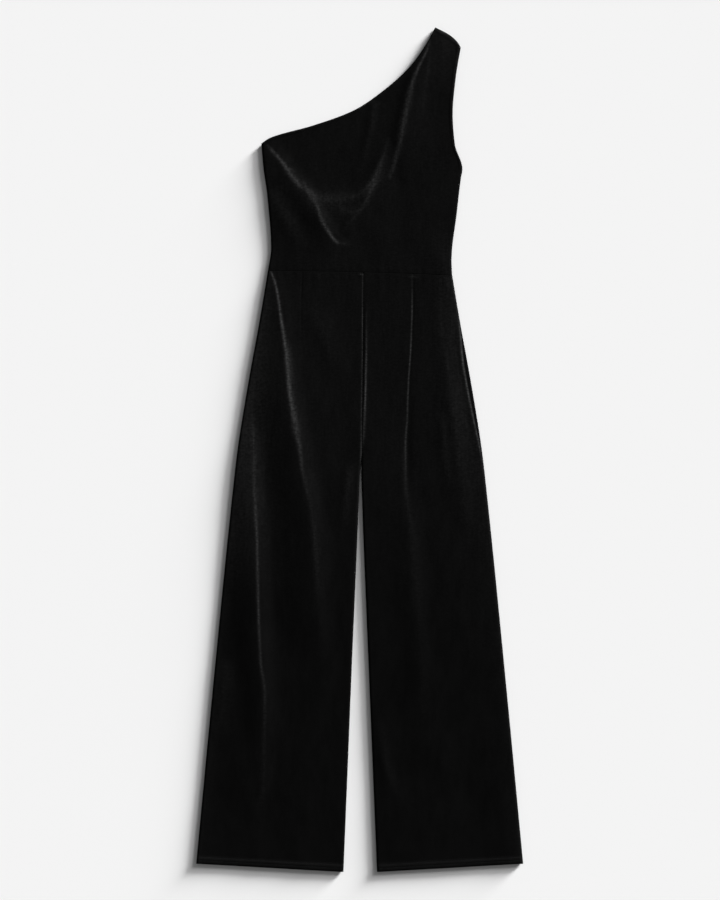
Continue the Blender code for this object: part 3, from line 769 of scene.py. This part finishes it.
# ---------------------------------------------------------------------------------------------------
# Back bodice
# One back panel with its one shoulder, cut like the front. Its side seams, waist seam and shoulder
# are sewn, and its neckline and armhole are turned in.
# ---------------------------------------------------------------------------------------------------
EdgePoint = namedtuple("EdgePoint", "place x y")
RIGHT_SIDE = (
    EdgePoint("waist seam", -170, 330),
    EdgePoint("narrowest", -164, 372),
    EdgePoint("ribs", -171, 470),
    EdgePoint("bust", -178, 520),
    EdgePoint("underarm", -182, 566),
)
LEFT_SIDE = (
    EdgePoint("waist seam", 171, 322),
    EdgePoint("narrowest", 170, 350),
    EdgePoint("ribs", 180, 440),
    EdgePoint("bust", 187, 500),
    EdgePoint("underarm", 190, 519),
    EdgePoint("armhole foot", 176, 565),
    EdgePoint("armhole middle", 172, 620),
    EdgePoint("armhole top", 178, 690),
    EdgePoint("shoulder point", 187, 744),
)
NECKLINE = (
    EdgePoint("right underarm", -182, 566),
    EdgePoint("below the bust line", -165, 577),
    EdgePoint("bust", -88, 599),
    EdgePoint("centre", -12, 627),
    EdgePoint("collarbone", 45, 665),
    EdgePoint("towards the neck", 94, 710),
    EdgePoint("neck", 124, 752),
    EdgePoint("neck point", 140, 781),
)
SHOULDER = (
    EdgePoint("neck point", 140, 781),
    EdgePoint("shoulder middle", 165, 768),
    EdgePoint("shoulder slope", 181, 754),
    EdgePoint("shoulder point", 187, 744),
)
LEFT_UNDERARM_Y = 519
UNDERARM_SOFTENING = 12.0  # over which a closed seam turns into the open armhole
STRAP_SOFTENING = 7.0  # over which the open neckline turns into the closed shoulder
NECK_SHARE = 0.87  # of the bodice's columns that end at the neckline, the rest at the shoulder
HIDDEN_INSET = 1.2  # how far the back's neck and armhole stay inside the front's
OUTLINE_SAMPLES = 400
BACK_BODICE_GRID = {"neck_columns": 50, "strap_columns": 10, "rows": 70}


def top_edge(share):
    """The bodice's upper edge: its neckline, and then the shoulder."""
    neckline = points_along(NECKLINE, OUTLINE_SAMPLES)[0]
    shoulder = points_along(SHOULDER, OUTLINE_SAMPLES)[0]
    stations = np.concatenate([
        np.linspace(0, NECK_SHARE, OUTLINE_SAMPLES), np.linspace(NECK_SHARE, 1, OUTLINE_SAMPLES)[1:]])
    edge = np.concatenate([neckline, shoulder[1:]])
    return np.stack([np.interp(share, stations, edge[:, axis]) for axis in (0, 1)], -1)


def side_edge(table, rows, aside, inset, inset_above=None):
    """A bodice side edge from the waist up, drawn in a little above its underarm."""
    foot = table[0].y - aside
    y = foot + rows * (table[-1].y - inset - foot)
    x = curve_through([place.y for place in table], [place.x for place in table])(y)
    if inset_above is not None:
        x = x - inset * smooth_step(inset_above, inset_above + UNDERARM_SOFTENING, y)
    return np.stack([x, y], -1)


def bodice_layout(neck_columns, strap_columns, rows, inset=0.0, aside=0.0):
    """The bodice as rows from its waist up to the neckline and columns from its right side to its left.

    The back's openings are inset from the front's, and its waist seam lies a little aside.
    """
    width = LEFT_SIDE[-1].x - RIGHT_SIDE[-1].x
    height = LEFT_SIDE[-1].y - LEFT_SIDE[0].y
    roll = roll_distances()
    neck = np.linspace(roll[-1] / width, NECK_SHARE, neck_columns + 1)[1:]
    strap = np.linspace(NECK_SHARE, 1 - roll[-1] / width, strap_columns + 1)[1:-1]
    u = np.concatenate([roll / width, neck, strap, 1 - roll[::-1] / width])
    body = np.append(np.linspace(0, 1 - roll[-1] / height, rows), np.array(ROWS_BESIDE_WAIST) / height)
    v = np.concatenate([np.sort(body), 1 - roll[-2::-1] / height])

    waist_x = RIGHT_SIDE[0].x + u * (LEFT_SIDE[0].x - RIGHT_SIDE[0].x)
    foot = np.stack([waist_x, waist_seam(waist_x) + SEAM_GAP / 2 - aside], -1)
    top = top_edge(u) - [0, inset]
    right = side_edge(RIGHT_SIDE, v, aside, inset)
    left = side_edge(LEFT_SIDE, v, aside, inset, inset_above=LEFT_UNDERARM_Y)
    across, up = u[None, :, None], v[:, None, None]
    corners = (
        (1 - across) * (1 - up) * foot[0] + across * (1 - up) * foot[-1]
        + (1 - across) * up * top[0] + across * up * top[-1]
    )
    points = (
        (1 - up) * foot + up * top + (1 - across) * right[:, None] + across * left[:, None] - corners
    )
    return points, u * width, (1 - u) * width, (1 - v) * height


def closing(low, high, value):
    """How far an edge rolls over: fully where it is closed, below low, and little where it is open."""
    return 1 - (1 - OPEN_EDGE_DROP) * smooth_step(low, high, value)


def bodice_edge_loss(points, from_right, from_left, from_top):
    """The side seams and the shoulder are closed, and the armhole and the neckline are open."""
    armhole_start, armhole_open = LEFT_UNDERARM_Y - UNDERARM_SOFTENING, LEFT_UNDERARM_Y + UNDERARM_SOFTENING
    left = closing(armhole_start, armhole_open, points[..., 1])
    strap = (1 - NECK_SHARE) * (from_right[-1] - from_right[0])
    top = closing(strap - STRAP_SOFTENING, strap + STRAP_SOFTENING, from_left)
    kept = (1 - rolled(from_right)) * (1 - rolled(from_left) * left) * (1 - rolled(from_top)[:, None] * top)
    return 1 - kept


def back_bodice():
    points, *distances = bodice_layout(**BACK_BODICE_GRID, inset=HIDDEN_INSET, aside=BACK_SEAM_ASIDE)
    loss = bodice_edge_loss(points, *distances)
    outer = np.dstack([points, loss * BACK_RIM])
    return cloth_wall("back_bodice", outer, loss, -1, BACK_PILE + 0 * loss)


panel = back_bodice()
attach(panel, "root")
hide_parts("bodice_back")

# ---------------------------------------------------------------------------------------------------
# Front bodice
# One front panel that runs up to one shoulder. It is cut with ease over the bust, and laid flat that
# ease hangs between the strap and the right underarm as a cowl, with drag lines from both.
# ---------------------------------------------------------------------------------------------------
BODICE_GRID = {"neck_columns": 150, "strap_columns": 24, "rows": 180}
BODICE_FOLDS = (
    Fold("drag line from the right underarm", 4, -1, 14, 38, 0.22, 2.2, 2.4, (
        RunPoint(-171, 562, 0.1, 0.3, 0.7), RunPoint(-160, 551, 0.3, 0.9, 0.9),
        RunPoint(-142, 530, 0.5, 1, 1.2), RunPoint(-127, 508, 0.7, 1, 1.5),
        RunPoint(-112, 489, 0.9, 0.6, 1.7), RunPoint(-101, 476, 1, 0, 1.2), RunPoint(-92, 464, 1, 0),
        RunPoint(-77, 441, 1, 0), RunPoint(-54, 402, 0.5, 0), RunPoint(-26, 380, 0, 0))),
    Fold("spur above the drag line", 0.3, 0, 4, 4, 0.06, 2, 2, (
        RunPoint(-134, 522, 0, 0), RunPoint(-125, 517, 1, 1), RunPoint(-116, 511, 0, 0))),
    Fold("middle streak of the drag line", 0.4, 0, 5, 5, 0.055, 2.6, 2.6, (
        RunPoint(-112, 500, 0, 0.1, 0.8), RunPoint(-104, 493, 0.6, 0.6), RunPoint(-97, 479, 1, 1, 1.1),
        RunPoint(-92, 467, 0.6, 0.7), RunPoint(-88, 450, 0, 0))),
    Fold("last streak of the drag line", 0.6, 0, 5, 5, 0.27, 2.2, 2, (
        RunPoint(-89, 478, 0, 0, 1.2), RunPoint(-84, 464, 0.6, 0.25, 1.2), RunPoint(-77, 445, 1, 0.5, 1.2),
        RunPoint(-70, 424, 1, 0.8, 1.4), RunPoint(-61, 408, 0.8, 0.8, 1.2),
        RunPoint(-53, 396, 0.6, 1, 1.2), RunPoint(-46, 387, 0.4, 1, 1.1), RunPoint(-42, 384, 0.2, 0.8),
        RunPoint(-37, 382, 0.1, 0.25, 1.3), RunPoint(-25, 380, 0, 0.12, 1.6),
        RunPoint(-14, 379, 0, 0, 1.6))),
    Fold("strap fold", 4.2, 3, 34, 15, 0.17, 3.6, 4.2, (
        RunPoint(130, 755, 0.3, 0.1, 0.5), RunPoint(125, 740, 0.4, 0.9, 0.5),
        RunPoint(112, 713, 0.7, 1, 0.6), RunPoint(101, 688, 0.9, 0.9, 0.8),
        RunPoint(94, 666, 0.95, 0.85, 1.1), RunPoint(89, 642, 1, 0.8, 1.3), RunPoint(80, 600, 1, 0.8, 1.4),
        RunPoint(73, 563, 0.8, 0.6, 1.1), RunPoint(60, 515, 0.3, 0.4, 0.9), RunPoint(55, 498, 0, 0, 0.9))),
    Fold("second strap line", 1.2, 0, 7, 5, 0.02, 2.6, 2.6, (
        RunPoint(131, 745, 0, 0.3, 0.8), RunPoint(128, 715, 1, 1), RunPoint(122, 680, 0.8, 0.8, 1.4),
        RunPoint(112, 605, 0, 0, 1.4))),
    Fold("foot of the cowl", 3.2, -2, 14, 28, 0.11, 3.6, 5, (
        RunPoint(-94, 480, 0.1, 0.4), RunPoint(-66, 463, 0.6, 0.35, 1.8),
        RunPoint(-42, 462, 0.7, 0.28, 1.8), RunPoint(-12, 467, 0.8, 0.25, 1.4),
        RunPoint(8, 478, 1, 0.3, 1.2), RunPoint(26, 500, 1, 0.9, 1.4), RunPoint(44, 546, 0.6, 0.3, 0.9),
        RunPoint(54, 580, 0, 0, 0.8))),
    Fold("second drape under the cowl", 2, -1, 12, 20, 0.065, 3, 3.8, (
        RunPoint(-34, 394, 0.2, 0), RunPoint(-22, 415, 0.7, 0.2), RunPoint(0, 442, 0.8, 0.5),
        RunPoint(10, 457, 0.8, 0.7), RunPoint(20, 478, 0.7, 0.9), RunPoint(34, 504, 0, 0))),
    Fold("upright line in the cowl", 1.2, 0, 7, 10, 0.012, 3.5, 5, (
        RunPoint(30, 645, 0, 0), RunPoint(27, 630, 1, 1), RunPoint(21, 596, 1, 0.9),
        RunPoint(3, 517, 0, 0.3))),
    # painted highlight only, round the drag line
    Fold("painted highlight round the drag line", 0, 0, 1, 1, 0.02, 5, 15, (
        RunPoint(-130, 512, 0, 0), RunPoint(-104, 478, 0, 1), RunPoint(-86, 456, 0, 1),
        RunPoint(-72, 426, 0, 0))),
    # painted sheen only, in the bowl of the cowl
    Fold("painted sheen in the bowl of the cowl", 0, 0, 1, 1, 0.018, 13, 13, (
        RunPoint(-80, 458, 0, 0.4), RunPoint(-42, 444, 0, 1), RunPoint(0, 452, 0, 1),
        RunPoint(34, 496, 0, 0.6, 0.8))),
    Fold("strand across the cowl", 0.4, 0, 7, 7, 0.02, 4, 4, (
        RunPoint(-48, 448, 0, 0), RunPoint(-36, 446, 1, 0.8), RunPoint(-15, 440, 1, 1),
        RunPoint(0, 441, 0.6, 0.7), RunPoint(9, 448, 0, 0))),
    Fold("soft roll under the drag line", 1.8, 0, 26, 22, 0.012, 20, 12, (
        RunPoint(-162, 495, 0, 0.3), RunPoint(-152, 458, 0.8, 1), RunPoint(-134, 420, 1, 1),
        RunPoint(-120, 400, 0.8, 0.6), RunPoint(-102, 360, 0, 0))),
    # painted sheen only, over the strap
    Fold("painted sheen on the strap", 0, 0, 1, 1, 0.016, 30, 30, (
        RunPoint(160, 770, 0, 1), RunPoint(164, 740, 0, 0.8), RunPoint(158, 660, 0, 0))),
    # a low rise with painted sheen at the left waist
    Fold("patch at the left waist with painted sheen", 1, 0, 20, 20, 0.014, 24, 24, (
        RunPoint(158, 322, 0, 1), RunPoint(158, 350, 1, 1), RunPoint(164, 400, 0, 0.1))),
)

NECK_TURNING = 10.0  # how deep the neckline and the armhole are turned in
TURNING_RISE = 0.4  # what the turned-in layer adds
TURNING_STEP = 4.0  # over which it adds that
TURNED_EDGE_HIGHLIGHT = 0.03  # painted highlight in a line over the turned edge
TURNED_EDGE = 4.0  # how far in from the edge it does
TURNED_EDGE_WIDTH = 1.6


def front_bodice():
    points, from_right, from_left, from_top = bodice_layout(**BODICE_GRID)
    x, y = points[..., 0], points[..., 1]
    loss = bodice_edge_loss(points, from_right, from_left, from_top)
    raised, painted_highlight = lay_folds(x, y, BODICE_FOLDS)
    above_waist = y - waist_seam(x)
    clear = clear_of_roll(np.minimum(from_right, from_left))
    lift = raised - groove(above_waist, WAIST_DIP, WAIST_DIP_WIDTH) * clear + slackness(x, y)
    lift = lift + puckers(x, above_waist)
    at_armhole = smooth_step(LEFT_UNDERARM_Y, LEFT_UNDERARM_Y + UNDERARM_SOFTENING, y)
    from_armhole = np.where(at_armhole > 0, from_left, from_left.max())
    from_opening = np.minimum(from_top[:, None], from_armhole)
    lift = lift + TURNING_RISE * (1 - smooth_step(NECK_TURNING - TURNING_STEP, NECK_TURNING, from_opening))
    # painted highlight in a line just inside the turned edge, and painted shade beside the waist seam
    painted_highlight = painted_highlight + groove(from_opening - TURNED_EDGE, TURNED_EDGE_HIGHLIGHT, TURNED_EDGE_WIDTH) + down_shading(y)
    painted_highlight = painted_highlight * (1 - groove(above_waist, WAIST_PAINTED_SHADE, WAIST_DIP_WIDTH))
    return cloth_wall("front_bodice", front_face(points, lift, loss), loss, 1, painted_highlight)


panel = front_bodice()
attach(panel, "root")
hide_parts("bodice_front")

# ---------------------------------------------------------------------------------------------------
# The surface, the light and the camera
# A plain pale table, soft light from low down beyond the left shoulder, and white walls all round.
# ---------------------------------------------------------------------------------------------------
TABLE_REACH = 12.0  # metres to each side, so that its edge is never seen
TABLE_DROP = 0.3 * METRES  # the cloth lies on it with the gap of touching things

table = bpy.data.meshes.new("surface")
corners = [(x * TABLE_REACH, y * TABLE_REACH, -TABLE_DROP) for x, y in ((-1, -1), (1, -1), (1, 1), (-1, 1))]
table.from_pydata(corners, [], [(0, 1, 2, 3)])
surface = add_object("surface", table)
card, card_tree, card_shader = new_material("matt_white_card")
matt_white = {"Base Color": linear("#f1f1f1"), "Roughness": 0.95, "Specular IOR Level": 0.0}
set_sockets(card_tree, card_shader, matt_white)
table.materials.append(card)

WALL_LIGHT = 0.16  # radiance of the white walls

# Two softboxes, one above the other, beyond the left shoulder. Angles are in degrees: how high each
# stands, seen from the garment, and how wide it looks from there.
Softbox = namedtuple("Softbox", "name elevation width strength")
SOFTBOXES = (
    Softbox("low_softbox", 8.5, 16, 12.1),
    Softbox("high_softbox", 22, 24, 2.5),
)
SOFTBOX_AZIMUTH = 43  # from +X towards +Y

walls = bpy.data.worlds.new("white_walls")
walls.use_nodes = True
white = {"Color": (1.0, 1.0, 1.0, 1.0), "Strength": WALL_LIGHT}
set_sockets(walls.node_tree, walls.node_tree.nodes["Background"], white)
bpy.context.scene.world = walls

for softbox in SOFTBOXES:
    lamp = bpy.data.lights.new(softbox.name, "SUN")
    lamp.energy = softbox.strength
    lamp.angle = math.radians(softbox.width)
    stand = add_object(softbox.name, lamp)
    stand.rotation_euler = (0, math.radians(90 - softbox.elevation), math.radians(SOFTBOX_AZIMUTH))

CAMERA_DISTANCE = 4.6  # metres, as are the next three
FRAME_HEIGHT = 1.665  # what the picture shows at the garment's height
FRAME_CENTRE = (0.0006, -0.0007)  # and the place in its middle
FARTHEST_SEEN = 50.0
SENSOR_HEIGHT = 24.0  # millimetres
camera_data = bpy.data.cameras.new("overhead_camera")
camera_data.sensor_fit = "VERTICAL"
camera_data.sensor_height = SENSOR_HEIGHT
camera_data.lens = SENSOR_HEIGHT * CAMERA_DISTANCE / FRAME_HEIGHT
camera_data.clip_end = FARTHEST_SEEN
camera = add_object("overhead_camera", camera_data)
camera.location = (*FRAME_CENTRE, CAMERA_DISTANCE + EDGE_RADIUS * METRES)
bpy.context.scene.camera = camera
bpy.context.scene.view_settings.view_transform = "Standard"
